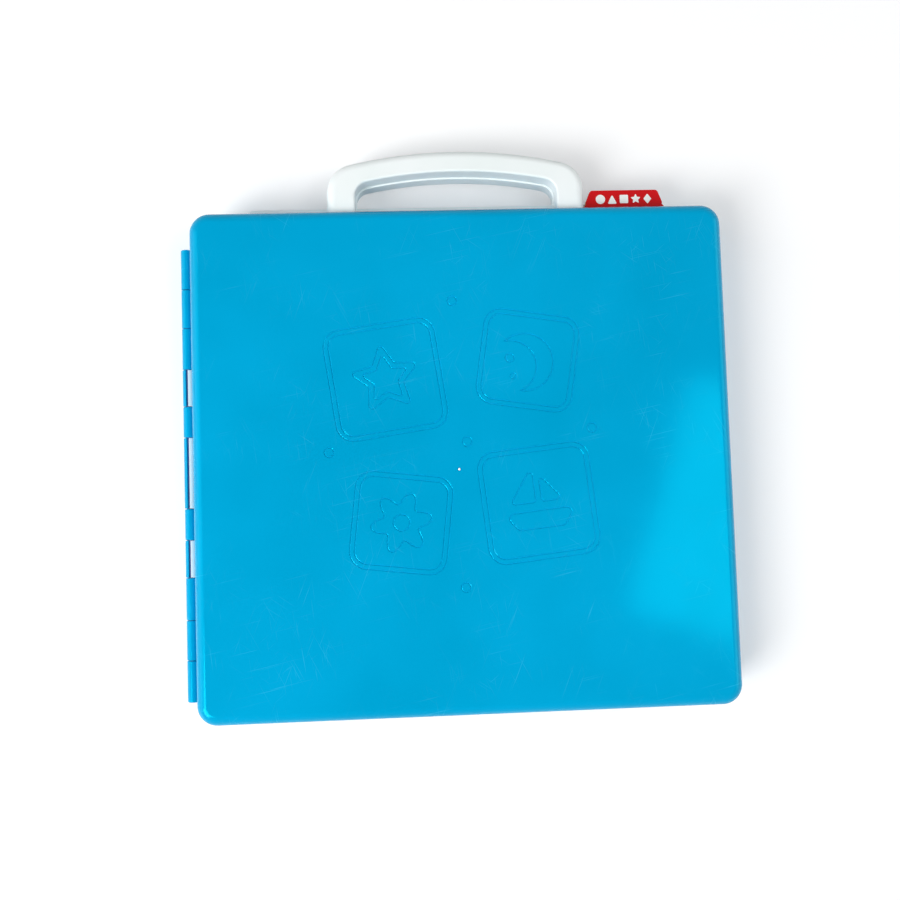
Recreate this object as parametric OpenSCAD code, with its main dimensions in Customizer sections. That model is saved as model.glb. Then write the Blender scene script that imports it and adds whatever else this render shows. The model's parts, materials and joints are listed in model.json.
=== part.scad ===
// Travel case for a letter tile game, lying closed on its back.
// The origin is the centre of the back cover's flat outer face.
// X runs from the hinge to the opening edge, Y towards the handle, Z up to the front cover.

/* [Case] */
// Width of the covers, from the hinge side to the opening side
case_w = 280; // [272:1:292]
// Height of the covers, below the handle
case_h = 263; // [256:1:272]
// Thickness of the closed case
case_t = 36; // [35:1:38]
// Corner radius of the covers, seen from the front
corner_r = 10.5; // [10:0.5:15]
// Rounding of the front and back edges
edge_r = 6; // [4:0.5:6.5]
// Wall thickness of the covers
wall = 2.2; // [1.8:0.1:2.4]
// Thickness of the white frame between the covers
frame_t = 2; // [1.6:0.1:2.4]

/* [Hinge] */
// Distance from the cover's wall out to the hinge axis
hinge_out = 4.2; // [4.1:0.1:4.6]
// Distance of the hinge's middle below the middle of the case
hinge_drop = 2.8; // [0:0.1:4]
// Radius of the hinge pin
pin_r = 2.3; // [2:0.1:2.4]
// Outer radius of the knuckles
barrel_r = 3.2; // [3:0.05:3.3]
// Radial running clearance round the pin
pin_clearance = 0.08; // [0.05:0.01:0.1]

/* [Handle] */
// Width over the handle's legs
handle_w = 136.8; // [124:0.2:140]
// Height of the grip above the covers
handle_rise = 33.4; // [32:0.1:38]
// Width of the grip, across its arc
grip_w = 11.8; // [11.5:0.1:13]
// Width of each leg
leg_w = 14.7; // [13.5:0.1:15]
// Radius of the grip's outer arc
grip_arc_r = 254; // [240:0.5:270]
// Depth of the front shell
handle_front_t = 10; // [10:0.5:12]
// Depth of the back shell
handle_back_t = 9.5; // [9.5:0.5:12]

/* [Tiles and cards] */
// Side of a letter tile
tile_w = 24; // [23:0.1:24.2]
// Thickness of a letter tile
tile_t = 5; // [4.6:0.1:5.1]
// Thickness of a picture card
card_t = 0.5; // [0.4:0.02:0.5]

/* [Hidden] */
$fn = 64;
LETTERS = "abcdefghijklmnopqrstuvwxyz";
tile_nodes = [for (c = LETTERS) str("tile_", c)];
CARDS = 5;
card_nodes = [for (k = [1:CARDS]) str("card_", k)];

BLUE = "#00a2d8";
WHITE = "#f2f8f7";
STEEL = "#b8bcc0";
NAVY = "#0a3d78";
CARD_COLOURS = ["#c8101c", "#f2b11c", "#3f9b46", "#7a4aa0", "#e9702a"];
VOWELS = "aeiou";

// Levels of the three layers
mid_z = case_t / 2;
frame_bottom = mid_z - frame_t / 2;
frame_top = mid_z + frame_t / 2;
half_w = case_w / 2;
half_h = case_h / 2;
cover_t = frame_bottom;
eps = 0.01;

// Hinge: distances of the knuckle ends from the middle of the hinge outwards
axis_x = -half_w - hinge_out;
knuckle_gap = 0.3;
centre_window = [-18.6, 18.6];
back_inner = [18.6, 35];
side_window = [35, 54.5];
front_inner = [54.5, 76.5];
back_outer = [76.5, 97.2];
front_outer = [97.2, 118.7];
pin_len = 2 * front_outer[1] - 0.4;
bore_r = pin_r + pin_clearance;
web = [frame_t / 2, frame_t / 2 + 1.4];
clip_angles = [-15, 88];
cradle_angles = [112, 310];

// White frame
opening_w = case_w - 24;
opening_h = case_h - 25;
opening_r = 8;
bead_gap = 0.4;
bead_w = 1.2;
bead_h = 1.8;
flange_x = [-110.5, 112];
flange_out = 5.4;
post_x = half_w - 6.8;
post_y = [-108, -36, 36, 108];
post_r = 3.6;
screw_r = 1.3;

// Handle
leg_x = handle_w / 2;
handle_foot = half_h + 0.4;
grip_cy = half_h + handle_rise - grip_arc_r;
outer_shoulder_r = 15;
inner_shoulder_r = 8;
shell_wall = 2.2;
seam_proud = 0.8;
outer_round = 4.5;
inner_round = 1.2;
round_steps = 5;
cavity_turn = 12.5;
leg_mid = leg_x - leg_w / 2;
handle_screw_pos = [[-leg_mid, half_h + 8], [leg_mid, half_h + 8],
                    [0, half_h + handle_rise - grip_w / 2]];
handle_screw_r = 1.5;
handle_screw_reach = 6.5;
boss_r = 3.2;

// Tile tray
tray_gap = 0.5;
tray_w = opening_w - 2 * tray_gap;
tray_h = opening_h - 2 * tray_gap;
tray_lip = 2.1;
lip_t = 1;
tray_top = frame_top + lip_t;
cols = 9;
rows = 3;
well_pitch_x = (tray_w - 3) / cols;
well_w = well_pitch_x - 2;
well_l = 2 * tile_w + 4;
well_pitch_y = well_l + 6;
well_top_y = tray_h / 2 - 4.5 - well_l / 2;
layer_gap = 0.1;
well_floor = tray_top - 1.5 - 2 * tile_t - layer_gap;
floor_t = 1.5;
tile_r = 2.5;
channel_y = -tray_h / 2 + 30.5;
channel_l = cols * well_pitch_x - 2;
channel_w = tile_w + 2;
channel_d = 5;

// Cards and their pocket in the front cover
pocket_bottom = frame_top + 1.4;
pocket_lip = 0.9;
card_z = pocket_bottom + pocket_lip + 0.2;
panel_z = card_z + CARDS * card_t + 0.2;
panel_t = 1.4;
card_half_w = 120;
card_low = -113.5;
card_high = 121;
card_r = 4;
pocket_wall = 2;
pocket_gap = 0.5;
pocket_reach = 4.5;
tab_foot = [68.9, 112.4];
tab_head = [72.4, 109.2];
tab_foot_y = half_h + 2.5;
tab_top = half_h + 11.4;
tab_r = 1.6;
notch_x = [66.5, 114.5];
panel_half = [132, 123];
pocket_screw_pos = [127.5, 117];

// Side profile of a block whose top outer edge is rounded, from its axis out to r
module edge_section(r, z, e) {
    square([r - e, z]);
    square([r, z - e]);
    translate([r - e, z - e])
        intersection() {
            circle(e);
            square(e);
        }
}

// Block with rounded corners and a rounded top edge, standing on z = 0
module rounded_block(w, h, z, r, e) {
    for (sx = [-1, 1], sy = [-1, 1])
        translate([sx * (w / 2 - r), sy * (h / 2 - r), 0])
            rotate_extrude() edge_section(r, z, e);
    for (turned = [0, 1])
        rotate([90, 0, 90 * turned])
            linear_extrude((turned == 0 ? h : w) - 2 * r, center = true)
                for (m = [0, 1])
                    mirror([m, 0]) edge_section((turned == 0 ? w : h) / 2, z, e);
}

// Flat rectangle with rounded corners
module rounded_rect(w, h, r) {
    square([w - 2 * r, h], center = true);
    square([w, h - 2 * r], center = true);
    for (sx = [-1, 1], sy = [-1, 1])
        translate([sx * (w / 2 - r), sy * (h / 2 - r)]) circle(r);
}

// Slab of the same outline from level z0 to z1
module slab(w, h, r, z0, z1) {
    translate([0, 0, z0]) linear_extrude(z1 - z0) rounded_rect(w, h, r);
}

module block(x, y, z) {
    translate([x[0], y[0], z[0]]) cube([x[1] - x[0], y[1] - y[0], z[1] - z[0]]);
}

// One cover as a dish standing on its rim at z = 0, closed at the top
module cover_dish() {
    difference() {
        rounded_block(case_w, case_h, cover_t, corner_r, edge_r);
        translate([0, 0, -1])
            rounded_block(case_w - 2 * wall, case_h - 2 * wall, cover_t - wall + 1,
                          corner_r - wall, edge_r - wall);
    }
}

// What repeats on both sides of the hinge's middle
module both_ends() {
    for (m = [0, 1]) translate([0, -hinge_drop, 0]) mirror([0, m, 0]) children();
}

// Web from a knuckle or cradle to the cover's wall, with side +1 for the front, -1 for the back
module knuckle_web(y0, y1, side) {
    block([axis_x + 1, axis_x + hinge_out + 0.5], [y0, y1],
          side > 0 ? [mid_z + web[0], mid_z + web[1]] : [mid_z - web[1], mid_z - web[0]]);
}

// Knuckles of one cover at the stations given
module knuckles(stations, side, r_bore) {
    for (s = stations)
        both_ends()
            difference() {
                union() {
                    translate([axis_x, s[1] - knuckle_gap / 2, mid_z])
                        rotate([90, 0, 0]) cylinder(r = barrel_r, h = s[1] - s[0] - knuckle_gap);
                    knuckle_web(s[0] + knuckle_gap / 2, s[1] - knuckle_gap / 2, side);
                }
                pin_bore(s, r_bore);
            }
}

// Space for the pin along one station of the hinge
module pin_bore(s, r) {
    translate([axis_x, s[1] + 1, mid_z]) rotate([90, 0, 0]) cylinder(r = r, h = s[1] - s[0] + 2);
}

// Part of a barrel round the pin, between two angles from the side of the case
module open_barrel(s, angles) {
    translate([axis_x, s[1] - knuckle_gap / 2, mid_z])
        rotate([90, 0, 0])
            linear_extrude(s[1] - s[0] - knuckle_gap)
                polygon(concat(arc([0, 0], barrel_r, angles[0], angles[1], 24),
                               arc([0, 0], bore_r, angles[1], angles[0], 24)));
}

// Cradle of the back cover in one hinge window: it holds the pin from outside and below
module pin_cradle(s) {
    open_barrel(s, cradle_angles);
    difference() {
        knuckle_web(s[0] + knuckle_gap / 2, s[1] - knuckle_gap / 2, -1);
        pin_bore(s, bore_r);
    }
}

// Clip of the frame in one hinge window: it holds the pin from the side of the case
module pin_clip(s) {
    open_barrel(s, clip_angles);
    block([axis_x + bore_r + 0.2, axis_x + hinge_out + 1],
          [s[0] + knuckle_gap / 2, s[1] - knuckle_gap / 2], [frame_bottom, frame_top]);
}

module at_posts() {
    for (sx = [-1, 1], y = post_y) translate([sx * post_x, y, 0]) children();
}

// Blue back cover: dish, floor ribs, screw posts, its share of the knuckles and the pin's cradles
module back_cover() {
    rib_top = well_floor - floor_t;
    color(BLUE) {
        difference() {
            union() {
                translate([0, 0, cover_t]) mirror([0, 0, 1]) cover_dish();
                for (y = [-87, -29, 29, 87])
                    block([-half_w + wall - eps, half_w - wall + eps], [y - 1, y + 1],
                          [wall - eps, rib_top]);
                for (x = [-84, -28, 28, 84])
                    block([x - 1, x + 1], [-half_h + wall - eps, half_h - wall + eps],
                          [wall - eps, rib_top]);
                at_posts() {
                    translate([0, 0, wall - eps]) cylinder(r = post_r, h = cover_t - wall + eps);
                }
                for (sx = [-1, 1], y = post_y)
                    block([sx > 0 ? post_x : -half_w + wall - eps,
                           sx > 0 ? half_w - wall + eps : -post_x],
                          [y - 1, y + 1], [wall - eps, cover_t - 1]);
            }
            at_posts() translate([0, 0, 6]) cylinder(r = screw_r, h = cover_t);
        }
        knuckles([back_inner, back_outer], -1, pin_r);
        both_ends() pin_cradle(side_window);
        translate([0, -hinge_drop, 0]) pin_cradle(centre_window);
    }
}

// Points of an arc from angle a0 to a1
function arc(c, r, a0, a1, n) =
    [for (i = [0:n]) let (a = a0 + (a1 - a0) * i / n) c + r * [cos(a), sin(a)]];

// Half of the handle's edge, from the foot of the right leg to the crown of the grip
function edge_half(x, arc_r, shoulder_r, foot_y, n) =
    let (cx = x - shoulder_r,
         cy = grip_cy + sqrt(pow(arc_r - shoulder_r, 2) - cx * cx),
         turn = 90 - asin(cx / (arc_r - shoulder_r)))
    concat([[x, foot_y]],
           arc([cx, cy], shoulder_r, 0, turn, n),
           [for (i = [1:n]) let (a = turn + (90 - turn) * i / n)
               [0, grip_cy] + arc_r * [cos(a), sin(a)]]);

function mirrored(p) = [-p[0], p[1]];
function whole(half) =
    concat(half, [for (i = [len(half) - 2:-1:0]) mirrored(half[i])]);

// Outer and inner edges of the handle, drawn in by an inset
function outer_edge(inset, foot_y) =
    whole(edge_half(leg_x - inset, grip_arc_r - inset, outer_shoulder_r - inset, foot_y, 8));
function inner_edge(inset, foot_y) =
    whole(edge_half(leg_x - leg_w + inset, grip_arc_r - grip_w + inset,
                    inner_shoulder_r + inset, foot_y, 8));

// Part of a turned ring about the grip's centre, within an angle each side of the middle
module grip_sector(turn) {
    translate([0, grip_cy, 0])
        rotate([0, 0, 90 - turn])
            rotate_extrude(angle = 2 * turn, $fn = 360) children();
}

function at_level(points, z) = [for (p = points) [p[0], p[1], z]];

// Ring of points round an arch of depth t, a degrees over its rounded edges
function arch_ring(t, a) =
    concat(at_level(outer_edge(outer_round * (1 - cos(a)), handle_foot),
                    t - outer_round * (1 - sin(a))),
           at_level([for (p = inner_edge(inner_round * (1 - cos(a)), handle_foot)) mirrored(p)],
                    t - inner_round * (1 - sin(a))));

// The two triangles of a face with four corners
function halves(q) = [[q[0], q[1], q[2]], [q[0], q[2], q[3]]];

// Handle arch of depth t on z = 0, with rounded top edges
module arch(t) {
    rings = concat([at_level(arch_ring(t, 0), 0)],
                   [for (k = [0:round_steps]) arch_ring(t, 90 * k / round_steps)]);
    n = len(rings[0]);
    top = (len(rings) - 1) * n;
    sides = [for (k = [0:len(rings) - 2], i = [0:n - 1]) let (j = (i + 1) % n)
        [(k + 1) * n + i, (k + 1) * n + j, k * n + j, k * n + i]];
    floor_strip = [for (i = [0:n / 2 - 2]) [i, i + 1, n - 2 - i, n - 1 - i]];
    roof_strip = [for (q = floor_strip) [top + q[3], top + q[2], top + q[1], top + q[0]]];
    polyhedron(points = [for (ring = rings, p = ring) p],
               faces = [for (q = concat(sides, floor_strip, roof_strip), f = halves(q)) f]);
}

module at_handle_screws() {
    for (p = handle_screw_pos) translate([p[0], p[1], 0]) children();
}

// Hollow handle shell of depth t, open at its joint face on z = 0
module handle_shell(t) {
    difference() {
        arch(t);
        difference() {
            union() {
                grip_sector(cavity_turn)
                    translate([grip_arc_r - grip_w + shell_wall, -1])
                        square([grip_w - 2 * shell_wall, t - shell_wall + 1]);
                for (m = [0, 1])
                    mirror([m, 0, 0])
                        block([leg_x - leg_w + shell_wall, leg_x - shell_wall],
                              [handle_foot + shell_wall, half_h + 14], [-1, t - shell_wall]);
            }
            at_handle_screws() translate([0, 0, -2]) cylinder(r = boss_r, h = t + 2);
        }
    }
}

// White front shell of the handle
module handle_front() {
    color(WHITE)
        difference() {
            translate([0, 0, frame_top]) handle_shell(handle_front_t);
            at_handle_screws()
                translate([0, 0, frame_top - 1])
                    cylinder(r = handle_screw_r, h = handle_screw_reach + 1.5);
        }
}

// White back shell of the handle, with recessed screw holes
module handle_back() {
    color(WHITE)
        difference() {
            translate([0, 0, frame_bottom]) mirror([0, 0, 1]) handle_shell(handle_back_t);
            at_handle_screws() {
                translate([0, 0, frame_bottom - handle_back_t - 1])
                    cylinder(r = handle_screw_r, h = handle_back_t + 2);
                translate([0, 0, frame_bottom - handle_back_t - 1])
                    cylinder(r = 2 * handle_screw_r, h = 4.5);
            }
        }
}

// Three pan-head screws that close the handle through the frame
module handle_screws() {
    head_z = frame_bottom - handle_back_t + 3.5;
    color(STEEL)
        at_handle_screws() {
            translate([0, 0, head_z - 1.9]) cylinder(r = 1.9 * handle_screw_r, h = 1.9);
            translate([0, 0, head_z - eps])
                cylinder(r = handle_screw_r, h = frame_top + handle_screw_reach - head_z);
        }
}

// White frame between the covers: rim plate, flange, handle core, locating bead and pin clips
module middle_frame() {
    color(WHITE)
        difference() {
            union() {
                slab(case_w, case_h, corner_r, frame_bottom, frame_top);
                block(flange_x, [half_h - 5, half_h + flange_out - 1.5], [frame_bottom, frame_top]);
                block([flange_x[0] + 1.5, flange_x[1] - 1.5],
                      [half_h - 5, half_h + flange_out], [frame_bottom, frame_top]);
                for (x = [flange_x[0] + 1.5, flange_x[1] - 1.5])
                    translate([x, half_h + flange_out - 1.5, frame_bottom])
                        cylinder(r = 1.5, h = frame_t);
                translate([0, 0, frame_bottom]) linear_extrude(frame_t)
                    polygon(concat(outer_edge(-seam_proud, half_h - 2),
                                   [for (p = inner_edge(-seam_proud, half_h - 2)) mirrored(p)]));
                difference() {
                    slab(case_w - 2 * (wall + bead_gap), case_h - 2 * (wall + bead_gap),
                         corner_r - wall - bead_gap, frame_top - eps, frame_top + bead_h);
                    slab(case_w - 2 * (wall + bead_gap + bead_w),
                         case_h - 2 * (wall + bead_gap + bead_w),
                         corner_r - wall - bead_gap - bead_w, frame_top - 1, frame_top + bead_h + 1);
                    block([notch_x[0] - 2, notch_x[1] + 2], [0, half_h], [frame_top, case_t]);
                }
                both_ends() pin_clip(side_window);
                translate([0, -hinge_drop, 0]) pin_clip(centre_window);
            }
            slab(opening_w, opening_h, opening_r, frame_bottom - 1, frame_top + 1);
            at_posts() {
                translate([0, 0, frame_bottom - 1]) cylinder(r = screw_r, h = frame_t + 2);
                translate([0, 0, frame_top - 1]) cylinder(r1 = screw_r, r2 = screw_r + 1, h = 1);
            }
            at_handle_screws()
                translate([0, 0, frame_bottom - 1]) cylinder(r = handle_screw_r, h = frame_t + 2);
        }
}

// Countersunk screws that hold the frame to the posts of the back cover
module frame_screws() {
    color(STEEL)
        at_posts() {
            translate([0, 0, 7]) cylinder(r = screw_r, h = frame_top - 7);
            translate([0, 0, frame_top - 1]) cylinder(r1 = screw_r, r2 = screw_r + 1, h = 1);
        }
}

// Hinge pin through every knuckle
module hinge_pin() {
    color(NAVY)
        translate([axis_x, pin_len / 2 - hinge_drop, mid_z])
            rotate([90, 0, 0]) cylinder(r = pin_r, h = pin_len);
}

function well_x(i) = (i % cols - (cols - 1) / 2) * well_pitch_x;
function well_y(i) = well_top_y - floor(i / cols) * well_pitch_y;

// White lift-out tray: a lip on the frame, a well for each letter, a spare well, a spelling channel
module tile_tray() {
    base_z = well_floor - floor_t;
    under_top = tray_top - channel_d - floor_t;
    color(WHITE)
        difference() {
            union() {
                slab(tray_w + 2 * tray_lip, tray_h + 2 * tray_lip, opening_r + 1.6, frame_top, tray_top);
                slab(tray_w, tray_h, opening_r - tray_gap, base_z, frame_top + eps);
            }
            for (i = [0:cols * rows - 1])
                translate([well_x(i), well_y(i), 0])
                    slab(well_w, well_l, tile_r + 0.5, well_floor, tray_top + 1);
            translate([0, channel_y, 0])
                slab(channel_l, channel_w, tile_r + 0.5, tray_top - channel_d, tray_top + 1);
            block([-channel_l / 2, channel_l / 2],
                  [-tray_h / 2 + 2.5, well_y(cols * rows - 1) - well_l / 2 - 2],
                  [base_z - 1, under_top]);
        }
}

// Tiles of one letter: two stacks of two, side by side in their well
module letter_tiles(i) {
    is_vowel = len(search(LETTERS[i], VOWELS)) > 0;
    color(is_vowel ? "#d8262c" : "#f7f3e6")
        for (s = [-1, 1], layer = [0, 1])
            translate([well_x(i), well_y(i) + s * (tile_w + 1) / 2, 0])
                slab(tile_w, tile_w, tile_r, well_floor + layer * (tile_t + layer_gap),
                     well_floor + layer * (tile_t + layer_gap) + tile_t);
}

// Blue front cover: dish, bosses for the card pocket, a notch for the card tabs and its knuckles
module front_cover() {
    color(BLUE) {
        difference() {
            union() {
                translate([0, 0, frame_top]) cover_dish();
                for (sx = [-1, 1], sy = [-1, 1])
                    translate([sx * pocket_screw_pos[0], sy * pocket_screw_pos[1], panel_z + panel_t])
                        cylinder(r = post_r, h = case_t - wall - panel_z - panel_t + eps);
            }
            block(notch_x, [half_h - wall - 1, half_h + 1], [frame_top - 1, panel_z + 0.3]);
            for (sx = [-1, 1], sy = [-1, 1])
                translate([sx * pocket_screw_pos[0], sy * pocket_screw_pos[1], panel_z])
                    cylinder(r = screw_r, h = case_t - wall - panel_z - 1);
        }
        knuckles([front_inner, front_outer], 1, bore_r);
    }
}

// White card pocket inside the front cover: a panel with lips on three sides
module card_pocket() {
    in_x = card_half_w + pocket_gap;
    in_y = card_low - pocket_gap;
    z_wall = [pocket_bottom, panel_z + eps];
    z_lip = [pocket_bottom, pocket_bottom + pocket_lip];
    color(WHITE)
        difference() {
            union() {
                slab(2 * panel_half[0], 2 * panel_half[1], 6, panel_z, panel_z + panel_t);
                for (m = [0, 1])
                    mirror([m, 0, 0]) {
                        block([in_x, in_x + pocket_wall], [in_y - pocket_wall, card_high - 4], z_wall);
                        block([in_x - pocket_reach, in_x + eps], [in_y - eps, card_high - 4], z_lip);
                    }
                block([-in_x - eps, in_x + eps], [in_y - pocket_wall, in_y], z_wall);
                block([-in_x - eps, in_x + eps], [in_y - eps, in_y + pocket_reach], z_lip);
            }
            for (sx = [-1, 1], sy = [-1, 1])
                translate([sx * pocket_screw_pos[0], sy * pocket_screw_pos[1], panel_z - 1])
                    cylinder(r = screw_r, h = panel_t + 2);
        }
}

// Pan-head screws of the card pocket
module pocket_screws() {
    color(STEEL)
        for (sx = [-1, 1], sy = [-1, 1])
            translate([sx * pocket_screw_pos[0], sy * pocket_screw_pos[1], 0]) {
                translate([0, 0, panel_z - 1.5]) cylinder(r = 2.6, h = 1.5);
                translate([0, 0, panel_z - eps]) cylinder(r = screw_r, h = panel_t + 5);
            }
}

// Outline of the tab that stands out above the covers
module tab_outline() {
    hull() {
        for (x = [tab_head[0] + tab_r, tab_head[1] - tab_r])
            translate([x, tab_top - tab_r]) circle(tab_r, $fn = 32);
        translate([tab_foot[0], tab_foot_y - 1]) square([tab_foot[1] - tab_foot[0], 1]);
    }
    translate([tab_foot[0], card_high - 1])
        square([tab_foot[1] - tab_foot[0], tab_foot_y - card_high + 1]);
}

// Picture card k, counted from the front cover, with its tab through the notch
module picture_card(k) {
    top = panel_z - 0.2 - k * card_t;
    color(CARD_COLOURS[k])
        translate([0, 0, top - card_t])
            linear_extrude(card_t) {
                translate([0, (card_low + card_high) / 2])
                    rounded_rect(2 * card_half_w, card_high - card_low, card_r);
                tab_outline();
            }
}

back_cover();
middle_frame();
tile_tray();
frame_screws();
hinge_pin();
handle_front();
handle_back();
handle_screws();
front_cover();
card_pocket();
pocket_screws();
for (k = [0:CARDS - 1])
    picture_card(k);
for (i = [0:len(LETTERS) - 1])
    letter_tiles(i);
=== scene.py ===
import json
import math

import bmesh
import bpy
from mathutils import Matrix, Vector


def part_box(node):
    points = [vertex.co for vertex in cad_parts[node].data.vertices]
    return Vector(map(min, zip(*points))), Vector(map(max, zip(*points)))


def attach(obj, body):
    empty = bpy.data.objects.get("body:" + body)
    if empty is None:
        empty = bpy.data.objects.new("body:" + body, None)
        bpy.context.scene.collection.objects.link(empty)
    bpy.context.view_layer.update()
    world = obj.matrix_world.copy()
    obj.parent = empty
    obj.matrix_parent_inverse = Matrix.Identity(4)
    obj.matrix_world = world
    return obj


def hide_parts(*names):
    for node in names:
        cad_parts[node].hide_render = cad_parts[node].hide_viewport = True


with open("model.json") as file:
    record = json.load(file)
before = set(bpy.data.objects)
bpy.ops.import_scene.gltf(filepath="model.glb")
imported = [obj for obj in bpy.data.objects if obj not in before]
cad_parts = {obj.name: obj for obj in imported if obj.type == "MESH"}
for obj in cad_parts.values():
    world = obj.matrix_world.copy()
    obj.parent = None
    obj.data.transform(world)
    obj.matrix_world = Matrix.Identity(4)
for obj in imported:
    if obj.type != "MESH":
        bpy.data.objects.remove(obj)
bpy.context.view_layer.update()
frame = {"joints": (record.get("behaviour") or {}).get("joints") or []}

# Shapes are modelled in millimetres, and a finished piece is scaled to metres
MM = 0.001


def node_box(node):
    """Lowest and highest corners of a CAD node, in millimetres."""
    low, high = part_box(node)
    return low / MM, high / MM


def node_middle(node):
    low, high = node_box(node)
    return (low + high) / 2


# Sizes in millimetres, read from the frame where it holds them
COVER_HIGH = node_box("front_cover")[1]
HALF_W = COVER_HIGH.x
HALF_H = COVER_HIGH.y
CASE_T = COVER_HIGH.z
FRAME_TOP = node_box("handle_front")[0].z
FRAME_BOTTOM = CASE_T - FRAME_TOP
MID_Z = CASE_T / 2
WALL = 2.2
CORNER_R = 10.5
EDGE_R = 6.0

# Hinge: its axis, the distances of the knuckle ends from its middle, and how far the faces of
# a knuckle's web lie from the middle plane
AXIS_X = frame["joints"][0]["pos_m"][0] / MM
HINGE_Y = node_middle("hinge_pin").y
PIN_R = 2.3
BORE_R = 2.38
BARREL_R = 3.2
WEB = (1.0, 2.4)
KNUCKLE_GAP = 0.3
BACK_KNUCKLES = [(18.6, 35.0), (76.5, 97.2)]
FRONT_KNUCKLES = [(54.5, 76.5), (97.2, 118.7)]
SIDE_WINDOW = (35.0, 54.5)
CENTRE_WINDOW = (-18.6, 18.6)
CLIP_ANGLES = (-15, 88)
CRADLE_ANGLES = (112, 310)

# Handle
HANDLE_HIGH = node_box("handle_front")[1]
HANDLE_BACK_LOW = node_box("handle_back")[0]
LEG_X = HANDLE_HIGH.x
LEG_W = 14.7
GRIP_W = 11.8
GRIP_ARC_R = 254.0
GRIP_Y = HANDLE_HIGH.y - GRIP_ARC_R
OUTER_SHOULDER_R = 15.0
INNER_SHOULDER_R = 8.0
OUTER_ROUND = 4.5
INNER_ROUND = 1.2
SEAM_PROUD = 0.8
HANDLE_RECESS = 3.5
HANDLE_SCREWS = [(LEG_W / 2 - LEG_X, HALF_H + 8), (LEG_X - LEG_W / 2, HALF_H + 8),
                 (0.0, HANDLE_HIGH.y - GRIP_W / 2)]

# Frame between the covers
FLANGE_X = (-110.5, 112.0)
FLANGE_TOP = HALF_H + 5.4
FLANGE_R = 1.5
OPENING = (256.0, 238.0, 8.0)
BEAD_GAP = 0.4
BEAD_W = 1.2
BEAD_H = 1.8
POST_X = HALF_W - 6.8
POST_Y = (-108.0, -36.0, 36.0, 108.0)
POST_HOLE_R = 2.4

# Screw heads: radius, height and depth of the cross recess
FRAME_HEAD = (2.25, 1.2, 0.7)
HANDLE_HEAD = (2.8, 2.0, 1.2)
POCKET_HEAD = (2.6, 1.6, 0.9)

# Tray and tiles
TRAY_LOW, TRAY_HIGH = node_box("tile_tray")
TRAY_LIP = 2.1
TILE_W = 24.0
TILE_T = 5.0
TILE_R = 2.5
LETTERS = "abcdefghijklmnopqrstuvwxyz"
VOWELS = "aeiou"
WELL_W = 26.0
WELL_L = 52.0
COLUMNS = 9
CHANNEL_L = 250.0
CHANNEL_D = 5.0
CHANNEL_UP = 30.5
FINGER_DIP = (26.0, 16.0, 3.0)
FINGER_DIP_AT = (60.0, 10.0)

# Cards and their pocket
CARD_HALF_W = 120.0
CARD_Y = (-113.5, 121.0)
TAB_FOOT = (68.9, 112.4)
TAB_HEAD = (72.4, 109.2)
TAB_TOP = node_box("card_1")[1].y
NOTCH_X = (66.5, 114.5)
NOTCH_TOP = 24.5
POCKET_WALL = 2.0
POCKET_LIP = 4.5
POCKET_LIP_T = 0.9
POCKET_SCREW_AT = (127.5, 117.0)


def camera_at(place, aim, up, lens):
    """The camera, with its image's upward direction given."""
    data = bpy.data.cameras.new("photograph_camera")
    data.sensor_width = SENSOR
    data.lens = lens
    data.clip_start = 0.01
    camera = bpy.data.objects.new("photograph_camera", data)
    bpy.context.scene.collection.objects.link(camera)
    ahead = (aim - place).normalized()
    right = ahead.cross(up).normalized()
    above = right.cross(ahead)
    turned = Matrix((right, above, -ahead)).transposed().to_4x4()
    camera.matrix_world = Matrix.Translation(place * MM) @ turned
    bpy.context.scene.camera = camera


# The camera looks down on the case from a little left of its middle.
# Its focal length is 950 where the photograph is 900 pixels wide.
SENSOR = 36.0
FOCAL_SHARE = 950 / 900
CAMERA_PLACE = Vector((-30.9, -23.9, 523.3))
CAMERA_AIM = Vector((-8.1, 4.4, 36.0))
CAMERA_UP = Vector((0.0324, 1.0, 0.0))
camera_at(CAMERA_PLACE, CAMERA_AIM, CAMERA_UP, SENSOR * FOCAL_SHARE)


def linear(code):
    """Linear RGBA of an sRGB hex colour."""
    values = [int(code[i:i + 2], 16) / 255 for i in (1, 3, 5)]
    return [v / 12.92 if v <= 0.04045 else ((v + 0.055) / 1.055) ** 2.4 for v in values] + [1.0]


def add_node(tree, kind, inputs=None, **settings):
    """A shader node with its settings, its input values and its links from other nodes' outputs."""
    node = tree.nodes.new(kind)
    for name, value in settings.items():
        setattr(node, name, value)
    for name, value in (inputs or {}).items():
        if isinstance(value, bpy.types.NodeSocket):
            tree.links.new(value, node.inputs[name])
        else:
            node.inputs[name].default_value = value
    return node


def empty_material(name):
    material = bpy.data.materials.new(name)
    material.use_nodes = True
    material.node_tree.nodes.clear()
    return material, material.node_tree


def patches(tree, where, size_mm, low, high, detail=2.0):
    """Soft patches of about this size, from 0 below low to 1 above high."""
    cloud = add_node(tree, "ShaderNodeTexNoise",
                     {"Vector": where, "Scale": 1 / (size_mm * MM), "Detail": detail})
    return add_node(tree, "ShaderNodeMapRange",
                    {"Value": cloud.outputs["Fac"], "From Min": low, "From Max": high}).outputs[0]


def scratches(tree, where, angle, length_mm, width_mm, start):
    """Hairlines at one angle in degrees: 0 on the clean surface, 1 in a scratch."""
    laid = add_node(tree, "ShaderNodeMapping",
                    {"Vector": where, "Rotation": (0, 0, math.radians(angle)),
                     "Location": (angle * 0.037, angle * 0.011, 0),
                     "Scale": (length_mm * MM, width_mm * MM, length_mm * MM)},
                    vector_type="TEXTURE")
    streaks = add_node(tree, "ShaderNodeTexNoise",
                       {"Vector": laid.outputs[0], "Scale": 1.0, "Detail": 0.0})
    return add_node(tree, "ShaderNodeMapRange",
                    {"Value": streaks.outputs["Fac"], "From Min": start,
                     "From Max": start + 0.06}).outputs[0]


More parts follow.
